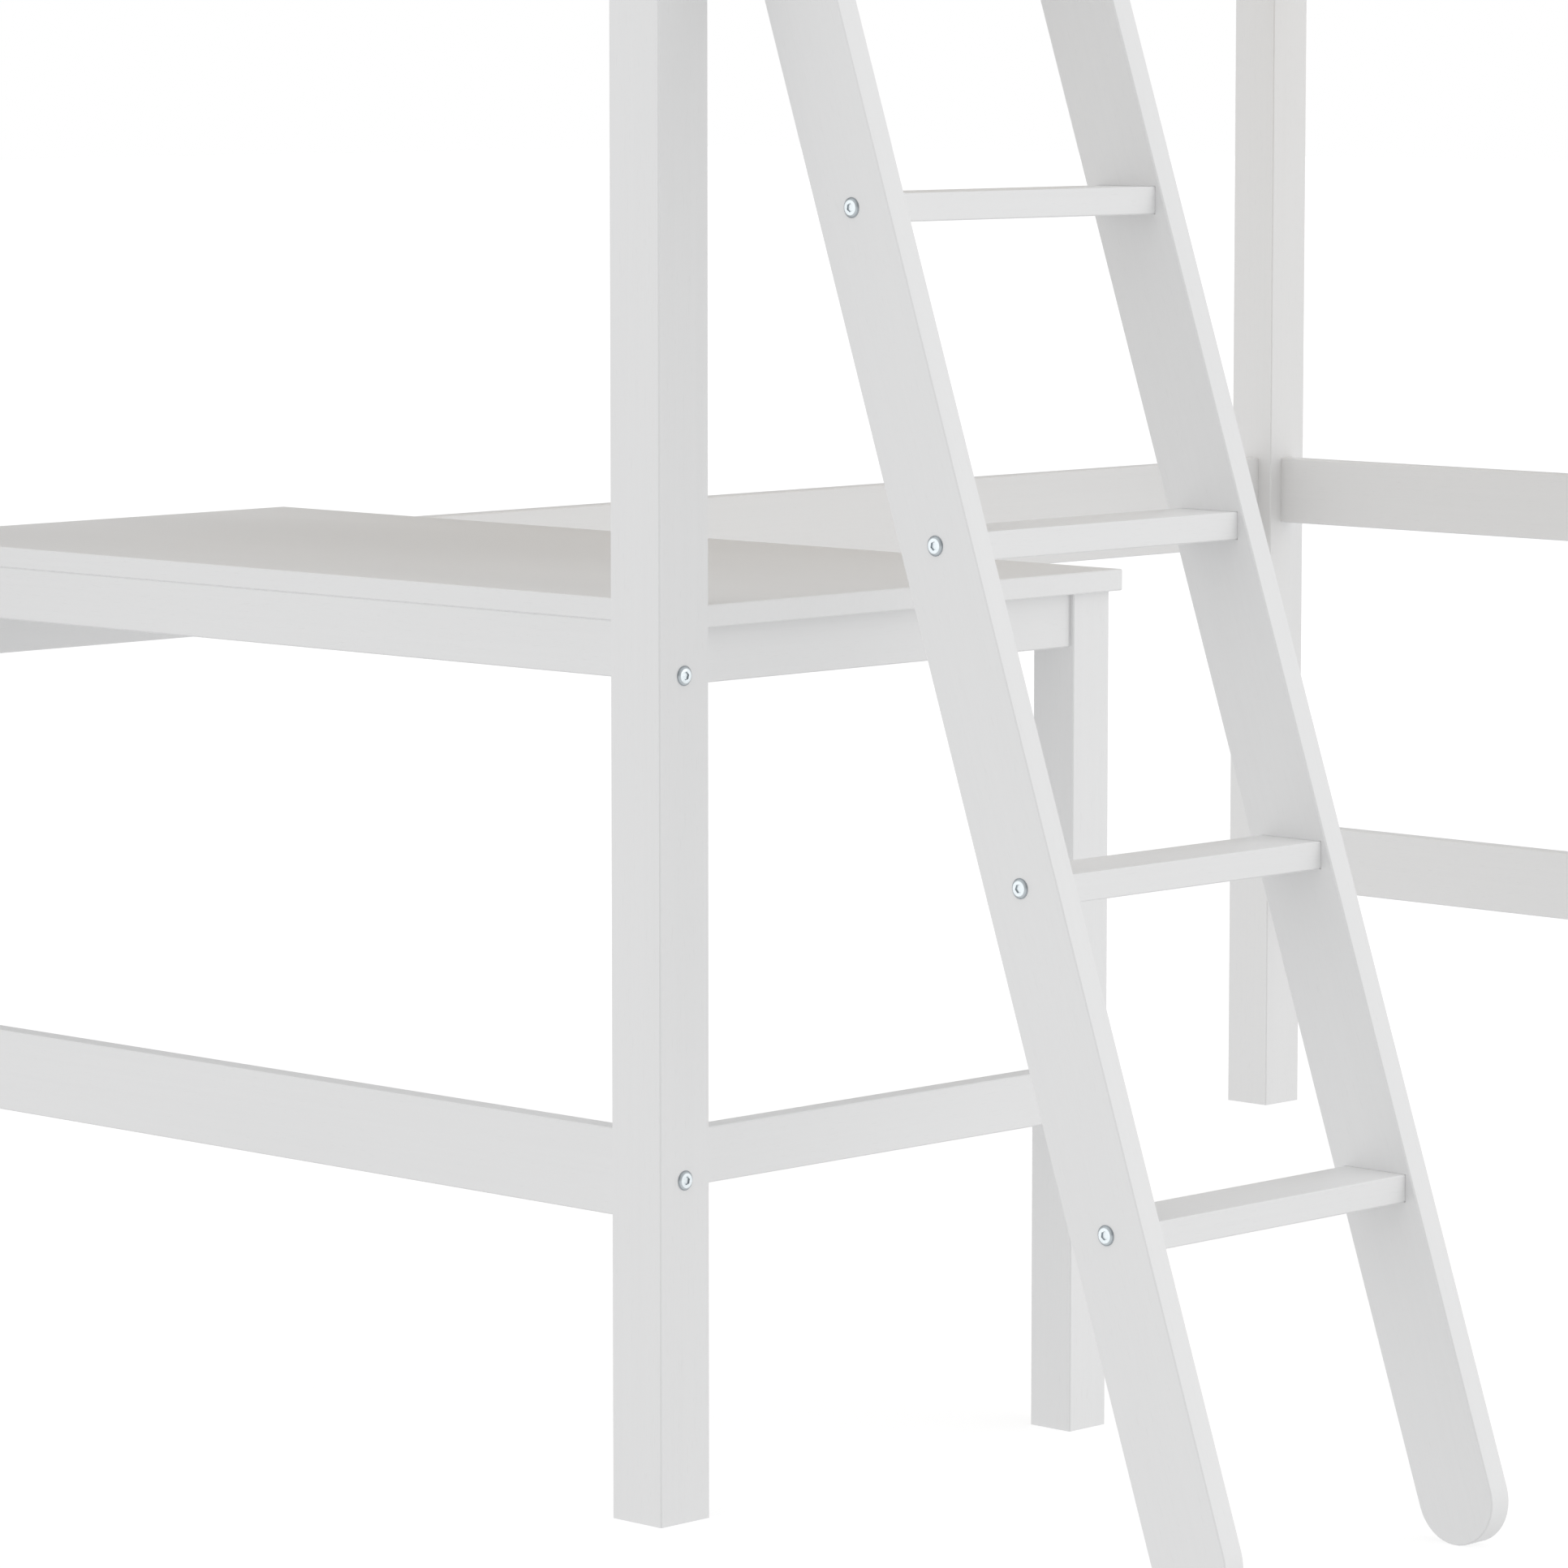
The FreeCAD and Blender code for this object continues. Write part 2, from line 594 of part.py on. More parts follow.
step_length = "(ladder_clear_width + 2 * (housing_depth - fit_clearance))"
step_bolts = []
for number, middle in enumerate(step_middles, start=1):
    step = board(f"ladder_step_{number}", step_length, "step_thickness", "step_depth")
    centre = [("step_depth / 2", "step_thickness / 2")]
    depth = "housing_depth + bolt_grip + bolt_clearance"
    drill(step, "YZ_Plane", "0", centre, depth, reverse=True)
    drill(step, "YZ_Plane", step_length, centre, depth)
    middle_y = f"({FOOT_Y} + {middle} * tan(ladder_lean))"
    place(
        step,
        f"{LADDER_LEFT} + stringer_thickness - housing_depth + fit_clearance",
        f"{middle_y} - step_depth / 2",
        f"{ROUND} + {middle} - step_thickness / 2",
    )
    step_bolts.append((LADDER_LEFT, middle_y, f"{ROUND} + {middle}", (1, 0, 0)))
    step_bolts.append((f"{LADDER_LEFT} + {LADDER_WIDTH}", middle_y, f"{ROUND} + {middle}", (-1, 0, 0)))


# Bolts with a flat bevelled head. The shank, which never shows, is six-sided, since so many repeat.
def bolt_group(label, shank, spots):
    """Set copies of one bolt at the spots, each with its head on the face it is driven from."""
    pattern = new_body(f"{label}_pattern")
    profile = sketch_on(pattern, "profile", "XY_Plane")
    polygon(
        profile,
        [
            ("-bolt_head_height", "0"),
            ("0", "0"),
            ("0", "bolt_head_diameter / 2"),
            ("-bolt_head_height", "bolt_face_diameter / 2"),
        ],
    )
    head = pattern.newObject("PartDesign::Revolution", "head")
    head.Profile = profile
    head.ReferenceAxis = (profile, ["H_Axis"])
    head.Angle = FULL_TURN
    section = sketch_on(pattern, "section", "YZ_Plane")
    turns = [f"({FULL_TURN} * {side} / {SHANK_SIDES})" for side in range(SHANK_SIDES)]
    polygon(section, [(f"bolt_diameter / 2 * cos{turn}", f"bolt_diameter / 2 * sin{turn}") for turn in turns])
    pad(pattern, section, shank)
    copies = []
    for x, y, z, way in spots:
        spot = [measure(f"{formula} - {origin}") for formula, origin in zip((x, y, z), ORIGIN)]
        turn = FreeCAD.Rotation(FreeCAD.Vector(1, 0, 0), FreeCAD.Vector(*way))
        bolt = pattern.Shape.copy()
        bolt.Placement = FreeCAD.Placement(FreeCAD.Vector(*spot), turn)
        copies.append(bolt)
    group = doc.addObject("Part::Feature", label)
    group.Label = label
    group.Shape = Part.makeCompound(copies)
    nodes.append(group)


bolt_group("rail_bolts", "post_size + bolt_grip", rail_bolts)
bolt_group("desk_bracket_bolts", "post_size + bracket_thickness + bracket_bolt_tip", bracket_bolts)
bolt_group("ladder_step_bolts", "stringer_thickness + bolt_grip", step_bolts)
bolt_group("ladder_hook_bolts", "board_thickness + bolt_grip", hook_bolts)

# Every feature has to be sound, and every cut has to take wood or steel away
doc.recompute()
for item in doc.Objects:
    if "Invalid" in item.State or "Error" in item.State:
        raise RuntimeError(f"{item.Label} failed to build")
    if item.isDerivedFrom("PartDesign::Pocket") and item.Shape.Volume >= item.BaseFeature.Shape.Volume:
        raise RuntimeError(f"{item.Label} cuts nothing")
for node in nodes:
    if node.Shape.isNull() or not node.Shape.isValid():
        raise RuntimeError(f"{node.Label} has no valid shape")

os.makedirs("parts", exist_ok=True)
for node in nodes:
    node.Shape.exportStep(f"parts/{node.Label}.step")
print(f"{len(nodes)} nodes")
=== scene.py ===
import math

import bpy
from mathutils import Euler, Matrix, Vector


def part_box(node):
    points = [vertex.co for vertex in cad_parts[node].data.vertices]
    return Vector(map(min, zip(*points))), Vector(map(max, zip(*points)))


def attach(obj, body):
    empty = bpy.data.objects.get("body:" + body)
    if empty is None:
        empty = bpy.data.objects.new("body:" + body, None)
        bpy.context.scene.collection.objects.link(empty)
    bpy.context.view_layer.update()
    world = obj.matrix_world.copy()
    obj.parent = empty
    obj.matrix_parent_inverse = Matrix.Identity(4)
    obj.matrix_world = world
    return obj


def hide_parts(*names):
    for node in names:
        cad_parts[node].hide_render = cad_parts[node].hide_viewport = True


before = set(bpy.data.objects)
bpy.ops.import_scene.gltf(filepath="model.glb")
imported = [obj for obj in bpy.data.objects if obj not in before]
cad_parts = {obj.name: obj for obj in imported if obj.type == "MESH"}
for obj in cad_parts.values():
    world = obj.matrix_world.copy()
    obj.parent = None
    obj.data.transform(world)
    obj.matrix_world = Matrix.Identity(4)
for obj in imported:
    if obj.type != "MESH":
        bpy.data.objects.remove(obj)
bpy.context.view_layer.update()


# Corner posts: four squared timbers, planed, eased along the edges and painted satin white.
# The paint fills the wood but leaves its pores and its figure faintly readable along the grain.
# The rails are tenoned into the posts, and bolts pass through them.
class Wire:
    """A socket of a node tree. Operators between sockets and numbers add Math nodes."""

    def __init__(self, tree, socket=None):
        self.tree = tree
        self.socket = socket

    def node(self, kind, settings=None, sockets=None, output=0):
        """Add a node, with its settings set first and then its sockets set or linked."""
        made = self.tree.nodes.new(kind)
        for key, value in (settings or {}).items():
            setattr(made, key, value)
        for key, value in (sockets or {}).items():
            if isinstance(value, Wire):
                self.tree.links.new(value.socket, made.inputs[key])
            else:
                made.inputs[key].default_value = value
        return Wire(self.tree, made.outputs[output])

    def maths(self, operation, *values):
        """Add a Math node on sockets and numbers."""
        return self.node("ShaderNodeMath", {"operation": operation}, dict(enumerate(values)))

    def __add__(self, other):
        return self.maths("ADD", self, other)

    def __sub__(self, other):
        return self.maths("SUBTRACT", self, other)

    def __rsub__(self, other):
        return self.maths("SUBTRACT", other, self)

    def __mul__(self, other):
        return self.maths("MULTIPLY", self, other)

    def __truediv__(self, other):
        return self.maths("DIVIDE", self, other)

    def __rtruediv__(self, other):
        return self.maths("DIVIDE", other, self)

    __radd__ = __add__
    __rmul__ = __mul__


def new_finish(name, **constants):
    """Start a material and return it, its shader node and a wire on its tree."""
    material = bpy.data.materials.new(name)
    material.use_nodes = True
    shader = material.node_tree.nodes["Principled BSDF"]
    for key, value in constants.items():
        shader.inputs[key.replace("_", " ")].default_value = value
    return material, shader, Wire(material.node_tree)


def feed(shader, **wires):
    """Link wires to the shader's sockets of those names."""
    for key, wire in wires.items():
        wire.tree.links.new(wire.socket, shader.inputs[key.replace("_", " ")])


def along_grain(wire, direction):
    """Return a function that makes noise in streaks of a given length and width along the grain."""
    turn = Vector((1, 0, 0)).rotation_difference(Vector(direction)).to_euler()
    place = wire.node("ShaderNodeTexCoord", output="Object")

    def streaks(length, width, detail):
        stretched = wire.node(
            "ShaderNodeMapping",
            {"vector_type": "TEXTURE"},
            {"Vector": place, "Rotation": turn, "Scale": (length, width, width)},
        )
        return wire.node("ShaderNodeTexNoise", {}, {"Vector": stretched, "Scale": 1, "Detail": detail})

    return streaks


def eased(wire, value, low, high):
    """Return 0 below low, 1 above high and a smooth step between them."""
    return wire.node(
        "ShaderNodeMapRange",
        {"interpolation_type": "SMOOTHSTEP"},
        {"Value": value, "From Min": low, "From Max": high},
    )


def opaque(colour):
    """Return a socket as it is, and three numbers with full cover as the fourth."""
    return colour if isinstance(colour, Wire) else (*colour, 1)


def mixed(wire, factor, first, second):
    """Mix two colours, each of them three numbers or a socket."""
    return wire.node(
        "ShaderNodeMix",
        {"data_type": "RGBA"},
        {"Factor": factor, "A": opaque(first), "B": opaque(second)},
        output="Result",
    )


def relief(wire, height, strength, depth):
    """Return a normal that shows marks too fine to model."""
    return wire.node("ShaderNodeBump", {}, {"Height": height, "Strength": strength, "Distance": depth})


NOISE_MIDDLE = 0.5
PAINT_SHADE = (0.773, 0.775, 0.777)
PAINT_LIGHT = (0.863, 0.865, 0.867)
PAINT_TONE = 0.5
PAINT_IOR = 1.47
PAINT_ROUGHNESS = 0.44
PAINT_BUMP = 0.10
PAINT_RELIEF = 0.0006
PORE_SIZE = (0.012, 0.0009)
PORE_EDGE = (0.62, 0.76)
PORE_TONE, PORE_RELIEF, PORE_ROUGHNESS = 0.22, 0.5, 0.1
FIGURE_SIZE = (0.30, 0.0042)
FIGURE_TONE, FIGURE_RELIEF = 0.22, 0.5
DRIFT_SIZE = (0.6, 0.12)
DRIFT_TONE, DRIFT_ROUGHNESS = 0.35, 0.16
FILM_SIZE = (0.0016, 0.0016)
FILM_RELIEF = 0.12


def painted_wood(name, direction):
    """Make white paint on wood whose grain runs in the given direction."""
    material, shader, wire = new_finish(name, IOR=PAINT_IOR)
    streaks = along_grain(wire, direction)
    pores = eased(wire, streaks(*PORE_SIZE, detail=1.0), *PORE_EDGE)
    figure = streaks(*FIGURE_SIZE, detail=3.0)
    drift = streaks(*DRIFT_SIZE, detail=2.0) - NOISE_MIDDLE
    film = streaks(*FILM_SIZE, detail=1.0)
    light = PAINT_TONE + (figure - NOISE_MIDDLE) * FIGURE_TONE + drift * DRIFT_TONE - pores * PORE_TONE
    height = figure * FIGURE_RELIEF - pores * PORE_RELIEF + film * FILM_RELIEF
    feed(
        shader,
        Base_Color=mixed(wire, light, PAINT_SHADE, PAINT_LIGHT),
        Roughness=PAINT_ROUGHNESS + drift * DRIFT_ROUGHNESS + pores * PORE_ROUGHNESS,
        Normal=relief(wire, height, PAINT_BUMP, PAINT_RELIEF),
    )
    return material


def dress(finish, slot, *names):
    """Give CAD nodes a finish. The slot that it stands for is not used."""
    for name in names:
        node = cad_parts[name]
        node.material_slots[0].material = finish


UP = (0, 0, 1)
POSTS = ["post_front_left", "post_back_left", "post_front_right", "post_back_right"]
upright_paint = painted_wood("white_paint_upright", UP)
dress(upright_paint, "painted_wood", *POSTS)


# Rails of the ends and the back: boards between the posts, with stub tenons in their ends.
# They are planed, eased and painted like the posts, with the grain along each board.
RIGHT = (1, 0, 0)
BACK = (0, 1, 0)
END_RAILS = ["end_rail_low_left", "end_rail_low_right", "end_rail_mid_right"]
crosswise_paint = painted_wood("white_paint_crosswise", BACK)
lengthwise_paint = painted_wood("white_paint_lengthwise", RIGHT)
dress(crosswise_paint, "painted_wood", *END_RAILS)
dress(lengthwise_paint, "painted_wood", "back_rail")


# Sleeping deck: four deep painted rails between the posts and a cleat along each side rail.
# The cleats carry the slats and are screwed to the rails from inside.
SIDE_RAILS = ["side_rail_front", "side_rail_back"]
DECK_END_RAILS = ["deck_end_rail_left", "deck_end_rail_right"]
CLEATS = ["slat_cleat_front", "slat_cleat_back"]
dress(lengthwise_paint, "painted_wood", *SIDE_RAILS, *CLEATS)
dress(crosswise_paint, "painted_wood", *DECK_END_RAILS)


# Slats: bare planed pine boards across the bed, screwed to the cleats at both ends.
# Growth rings run in long arches along each slat, sawn from its own place in the log,
# and bend round a few small knots.
def middle_of(node):
    """Return the middle of a CAD node's box."""
    low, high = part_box(node)
    return (low + high) / 2


LOW, HIGH = 0, 1
SLATS = sorted(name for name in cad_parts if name.startswith("deck_slat_"))
PINE_EARLY = (0.80, 0.71, 0.58)
PINE_LATE = (0.65, 0.50, 0.34)
PINE_KNOT = (0.27, 0.13, 0.06)
PINE_IOR = 1.45
PINE_ROUGHNESS = 0.62
PINE_BUMP = 0.15
PINE_RELIEF = 0.0008
PITH_DEPTH = 0.035
PITH_SPREAD = 0.05
LOT_TONE = 0.25
WANDER_SIZE = (0.5, 0.05)
WANDER_REACH = 0.030
KNOT_SPACING = (0.13, 0.34, 0.13)
KNOT_EDGE = (0.045, 0.075)
KNOT_TONE = 0.8
SWIRL_EDGE = (0.04, 0.22)
SWIRL_REACH = 0.012
RING_WIDTH = 0.0052
LATE_STARTS = (0.35, 0.92)
LATE_ENDS = (0.94, 1.0)
LATE_TONE, LATE_RELIEF, LATE_GLOSS = 0.62, 0.5, 0.12
FIBRE_SIZE = (0.03, 0.0007)
FIBRE_TONE, FIBRE_RELIEF, FIBRE_ROUGHNESS = 0.5, 0.6, 0.2
slat_pitch = (middle_of(SLATS[1]) - middle_of(SLATS[0])).x
slats_start = middle_of(SLATS[0]).x - slat_pitch / 2
slats_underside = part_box(SLATS[0])[LOW].z


def bare_pine(name):
    """Make pine whose rings have their own pith under each slat."""
    material, shader, wire = new_finish(name, IOR=PINE_IOR)
    streaks = along_grain(wire, BACK)
    place = wire.node("ShaderNodeTexCoord", output="Object")
    across = wire.node("ShaderNodeSeparateXYZ", {}, {"Vector": place}, output="X")
    up = wire.node("ShaderNodeSeparateXYZ", {}, {"Vector": place}, output="Z")
    slat = (across - slats_start) / slat_pitch
    number = wire.maths("FLOOR", slat)
    chance = wire.node("ShaderNodeTexWhiteNoise", {"noise_dimensions": "1D"}, {"W": number})
    lot = chance - NOISE_MIDDLE
    from_middle = (slat - number - 0.5) * slat_pitch
    from_pith = from_middle + lot * PITH_SPREAD
    depth = up - (slats_underside - PITH_DEPTH)
    reach = wire.maths("SQRT", from_pith * from_pith + depth * depth)
    wander = streaks(*WANDER_SIZE, detail=2.0) - NOISE_MIDDLE
    spaced = wire.node(
        "ShaderNodeMapping", {"vector_type": "TEXTURE"}, {"Vector": place, "Scale": KNOT_SPACING}
    )
    to_knot = wire.node("ShaderNodeTexVoronoi", {}, {"Vector": spaced, "Scale": 1})
    knot = 1 - eased(wire, to_knot, *KNOT_EDGE)
    swirl = 1 - eased(wire, to_knot, *SWIRL_EDGE)
    rings = (reach + wander * WANDER_REACH + swirl * SWIRL_REACH) / RING_WIDTH
    ring = wire.maths("FRACT", rings)
    late = eased(wire, ring, *LATE_STARTS) * (1 - eased(wire, ring, *LATE_ENDS))
    fibres = streaks(*FIBRE_SIZE, detail=2.0)
    fleck = fibres - NOISE_MIDDLE
    tone = late * LATE_TONE + fleck * FIBRE_TONE + lot * LOT_TONE
    wood = mixed(wire, tone, PINE_EARLY, PINE_LATE)
    height = late * LATE_RELIEF - fibres * FIBRE_RELIEF
    feed(
        shader,
        Base_Color=mixed(wire, knot * KNOT_TONE, wood, PINE_KNOT),
        Roughness=PINE_ROUGHNESS - late * LATE_GLOSS + fleck * FIBRE_ROUGHNESS,
        Normal=relief(wire, height, PINE_BUMP, PINE_RELIEF),
    )
    return material


dress(bare_pine("bare_pine"), "bare_pine", *SLATS)


# Guard: two painted boards on each side of the deck, tenoned into the posts, and the uprights
# that are screwed to them and to the side rails. The front pair starts at the entry over the ladder.
GUARD_LEVELS = ("lower", "upper")
GUARD_PAINTS = {
    "left": crosswise_paint,
    "right": crosswise_paint,
    "back": lengthwise_paint,
    "front": lengthwise_paint,
}
UPRIGHTS = {"guard_upright_entry": "front", "guard_upright_front": "front", "guard_upright_back": "back"}
for side, paint in GUARD_PAINTS.items():
    dress(paint, "painted_wood", *(f"guard_{side}_{level}" for level in GUARD_LEVELS))
dress(upright_paint, "painted_wood", *UPRIGHTS)


# Desk: a painted top on tenoned aprons, held by the left posts, one square leg and the back rail,
# with a low stretcher from a post to the leg. The top's grain runs along the desk, across the bed.
dress(crosswise_paint, "painted_wood", "desk_top", "desk_apron_end", "desk_apron_inner")
dress(lengthwise_paint, "painted_wood", "desk_apron_front", "desk_stretcher")
dress(upright_paint, "painted_wood", "desk_leg")


# Ladder: two leaning painted stringers with rounded ends and five steps housed between them.
# The grain follows the lean of the stringers and the length of the steps.
STRINGERS = ["ladder_stringer_left", "ladder_stringer_right"]
STEPS = [f"ladder_step_{number}" for number in range(1, 6)]
lean = (middle_of(STEPS[-1]) - middle_of(STEPS[0])).normalized()
dress(painted_wood("white_paint_leaning", lean), "painted_wood", *STRINGERS)
dress(lengthwise_paint, "painted_wood", *STEPS)


# Bolts: zinc-plated furniture bolts with a flat bevelled head and a six-sided socket.
# They are turned, so fine rings run round each head, and every one stops at its own turn.
# They pass through the posts, the stringers or the side rail into the piece behind.
ZINC_COOL = (0.72, 0.80, 0.84)
ZINC_BRIGHT = (0.88, 0.92, 0.94)
# Painted shade: faces of the fasteners are darkened toward this colour in place of shade in their
# recesses and dark reflections on their bevels.
ZINC_PAINTED_SHADE = (0.16, 0.18, 0.20)
ZINC_ROUGHNESS = 0.22
ZINC_BUMP = 0.12
CLOUD_SCALE = 420
CLOUD_ROUGHNESS = 0.18
TURNING_RATE = 24000
TURNING_WANDER = 2
TURNING_RELIEF = 0.00005


def zinc_plate(name):
    """Make bright zinc with turning marks that follow each fastener's own radius, darkened face by face
    with painted shade.
    """
    material, shader, wire = new_finish(name, Metallic=1.0)
    place = wire.node("ShaderNodeTexCoord", output="Object")
    cloud = wire.node("ShaderNodeTexNoise", {}, {"Vector": place, "Scale": CLOUD_SCALE, "Detail": 3})
    radius = wire.node("ShaderNodeAttribute", {"attribute_name": "radius"}, output="Fac")
    # Painted shade: how far each fastener face is darkened, stored on the mesh in place of recess shade
    # and dark reflections.
    shade = wire.node("ShaderNodeAttribute", {"attribute_name": "shade"}, output="Fac")
    turning = wire.maths("SINE", radius * TURNING_RATE + cloud * TURNING_WANDER)
    plate = mixed(wire, cloud, ZINC_COOL, ZINC_BRIGHT)
    feed(
        shader,
        Base_Color=mixed(wire, shade, plate, ZINC_PAINTED_SHADE),
        Roughness=ZINC_ROUGHNESS + cloud * CLOUD_ROUGHNESS,
        Normal=relief(wire, turning, ZINC_BUMP, TURNING_RELIEF),
    )
    return material


zinc = zinc_plate("zinc_plate")
FULL_TURN = 2 * math.pi
SIDES_OF_RING = 36
SIDES_OF_SOCKET = 6
SOCKET_TURN = FULL_TURN / SIDES_OF_SOCKET
SHARP_ANGLE = math.radians(25)


def six_sided(across_flats):
    """Return how far a six-sided wall is from its middle, as a function of the angle."""
    return lambda angle: across_flats / 2 / math.cos(angle % SOCKET_TURN - SOCKET_TURN / 2)


def turned_shape(name, rings):
    """Make a closed turned mesh from rings of (reach, height, painted shade on the faces to the next
    ring).

    A reach is a radius, or a function of the angle. The first and last rings are points.
    """
    angles = [FULL_TURN * step / SIDES_OF_RING for step in range(SIDES_OF_RING)]
    points = [(0, 0, rings[0][1])]
    for reach, height, _ in rings[1:-1]:
        reaches = [reach(angle) if callable(reach) else reach for angle in angles]
        points += [(r * math.cos(a), r * math.sin(a), height) for r, a in zip(reaches, angles)]
    points.append((0, 0, rings[-1][1]))
    first, last = 1, len(points) - 1
    faces = []
    for step in range(SIDES_OF_RING):
        following = (step + 1) % SIDES_OF_RING
        faces.append((0, first + step, first + following))
        for ring in range(len(rings) - 3):
            start = first + ring * SIDES_OF_RING
            below = start + SIDES_OF_RING
            faces.append((start + step, below + step, below + following, start + following))
        faces.append((last - SIDES_OF_RING + step, last, last - SIDES_OF_RING + following))
    mesh = bpy.data.meshes.new(name)
    mesh.from_pydata(points, [], faces)
    # Painted shade: each face keeps how far it is darkened, standing in for shade in recesses and dark
    # reflections on slopes.
    shade = mesh.attributes.new("shade", "FLOAT", "FACE")
    shade.data.foreach_set("value", [dark for _, _, dark in rings[:-1]] * SIDES_OF_RING)
    radius = mesh.attributes.new("radius", "FLOAT", "POINT")
    radius.data.foreach_set("value", [math.hypot(x, y) for x, y, _ in points])
    mesh.shade_smooth()
    mesh.set_sharp_from_angle(angle=SHARP_ANGLE)
    return mesh


HEAD_DIAMETER = 0.016
HEAD_RISE = 0.002
HEAD_RIM = 0.0003
FACE_DIAMETER = 0.0115
FACE_ROUND_WIDTH, FACE_ROUND_DROP = 0.0003, 0.00008
BEVEL_FOOT_WIDTH, BEVEL_FOOT_RISE = 0.0008, 0.0010
SOCKET_FLATS = 0.006
SOCKET_DEPTH = 0.0013
SOCKET_DISH = 0.0001
SOCKET_CHAMFER = 0.0002
SHANK_DIAMETER = 0.006
SHANK_FILLET = 0.0004
SHANK_CHAMFER = 0.0010
# Painted shade on the bolt's faces, 0 for none: dark socket walls for the shade inside the recess, darker
# bevel and rim for dark reflections, and darker hidden underside and shank.
FACE_SHADE, LIP_SHADE, WALL_SHADE = 0, 0.2, 0.85
EDGE_SHADE, BEVEL_SHADE, FOOT_SHADE, RIM_SHADE = 0.3, 0.55, 0.75, 0.9
UNDERSIDE_SHADE, SHANK_SHADE = 0.6, 0.2


def bolt_shape(name, shank_length):
    """Make a bolt that faces up, with the underside of its head at the origin."""
    head, face, shank = HEAD_DIAMETER / 2, FACE_DIAMETER / 2, SHANK_DIAMETER / 2
    floor = HEAD_RISE - SOCKET_DEPTH
    wall, lip = six_sided(SOCKET_FLATS), six_sided(SOCKET_FLATS + 2 * SOCKET_CHAMFER)
    return turned_shape(
        name,
        [
            (0, floor - SOCKET_DISH, FACE_SHADE),
            (wall, floor, WALL_SHADE),
            (wall, HEAD_RISE - SOCKET_CHAMFER, LIP_SHADE),
            (lip, HEAD_RISE, FACE_SHADE),
            (face, HEAD_RISE, EDGE_SHADE),
            (face + FACE_ROUND_WIDTH, HEAD_RISE - FACE_ROUND_DROP, BEVEL_SHADE),
            (head - BEVEL_FOOT_WIDTH, BEVEL_FOOT_RISE, FOOT_SHADE),
            (head, HEAD_RIM, RIM_SHADE),
            (head, 0, UNDERSIDE_SHADE),
            (shank + SHANK_FILLET, 0, SHANK_SHADE),
            (shank, -SHANK_FILLET, SHANK_SHADE),
            (shank, SHANK_CHAMFER - shank_length, SHANK_SHADE),
            (shank - SHANK_CHAMFER, -shank_length, SHANK_SHADE),
            (0, -shank_length, SHANK_SHADE),
        ],
    )


def fastener_tree():
    """Build the tree that sets a fastener on every seat, along its axis and at its own turn."""
    tree = bpy.data.node_groups.new("fasteners_on_seats", "GeometryNodeTree")
    inputs = {
        "Seats": "NodeSocketGeometry",
        "Fastener": "NodeSocketObject",
        "Largest turn": "NodeSocketFloat",
        "Seed": "NodeSocketInt",
        "Finish": "NodeSocketMaterial",
    }
    for name, kind in inputs.items():
        tree.interface.new_socket(name, in_out="INPUT", socket_type=kind)
    tree.interface.new_socket("Fasteners", in_out="OUTPUT", socket_type="NodeSocketGeometry")
    wire = Wire(tree)
    entry = tree.nodes.new("NodeGroupInput")
    given = {name: Wire(tree, entry.outputs[name]) for name in inputs}
    axis = wire.node("GeometryNodeInputNamedAttribute", {"data_type": "FLOAT_VECTOR"}, {"Name": "axis"})
    facing = wire.node("FunctionNodeAlignRotationToVector", {"axis": "Z"}, {"Vector": axis})
    angle = wire.node(
        "FunctionNodeRandomValue",
        {"data_type": "FLOAT"},
        {"Min": 0.0, "Max": given["Largest turn"], "Seed": given["Seed"]},
        output="Value",
    )
    spin = wire.node("FunctionNodeAxisAngleToRotation", {}, {"Axis": UP, "Angle": angle})
    turned = wire.node(
        "FunctionNodeRotateRotation", {"rotation_space": "LOCAL"}, {"Rotation": facing, "Rotate By": spin}
    )
    shape = wire.node("GeometryNodeObjectInfo", {}, {"Object": given["Fastener"]}, output="Geometry")
    spread = wire.node(
        "GeometryNodeInstanceOnPoints",
        {},
        {"Points": given["Seats"], "Instance": shape, "Rotation": turned},
    )
    real = wire.node("GeometryNodeRealizeInstances", {}, {"Geometry": spread})
    done = wire.node("GeometryNodeSetMaterial", {}, {"Geometry": real, "Material": given["Finish"]})
    leave = tree.nodes.new("NodeGroupOutput")
    tree.links.new(done.socket, leave.inputs["Fasteners"])
    return tree


set_fasteners = fastener_tree()


def fasteners(name, shape, seats, seed, largest_turn=SOCKET_TURN):
    """Make one piece of like fasteners from seats of (place of the head, axis it faces)."""
    seat_points = bpy.data.meshes.new(f"{name}_seats")
    seat_points.from_pydata([place for place, _ in seats], [], [])
    axes = seat_points.attributes.new("axis", "FLOAT_VECTOR", "POINT")
    axes.data.foreach_set("vector", [part for _, axis in seats for part in axis])
    piece = bpy.data.objects.new(name, seat_points)
    pattern = bpy.data.objects.new(f"{name}_pattern", shape)
    for thing in (piece, pattern):
        bpy.context.scene.collection.objects.link(thing)
    values = {"Fastener": pattern, "Largest turn": largest_turn, "Seed": seed, "Finish": zinc}
    modifier = piece.modifiers.new("fasteners", "NODES")
    modifier.node_group = set_fasteners
    for item in set_fasteners.interface.items_tree:
        if item.name in values:
            modifier[item.identifier] = values[item.name]
    finished = piece.evaluated_get(bpy.context.evaluated_depsgraph_get())
    mesh = bpy.data.meshes.new_from_object(finished)
    piece.modifiers.clear()
    piece.data = mesh
    mesh.name = name
    bpy.data.objects.remove(pattern)
    bpy.data.meshes.remove(seat_points)
    bpy.data.meshes.remove(shape)
    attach(piece, "root")
    return piece


LEFT = (-1, 0, 0)
FRONT = (0, -1, 0)
posts_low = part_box("post_front_left")[LOW]
posts_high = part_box("post_back_right")[HIGH]


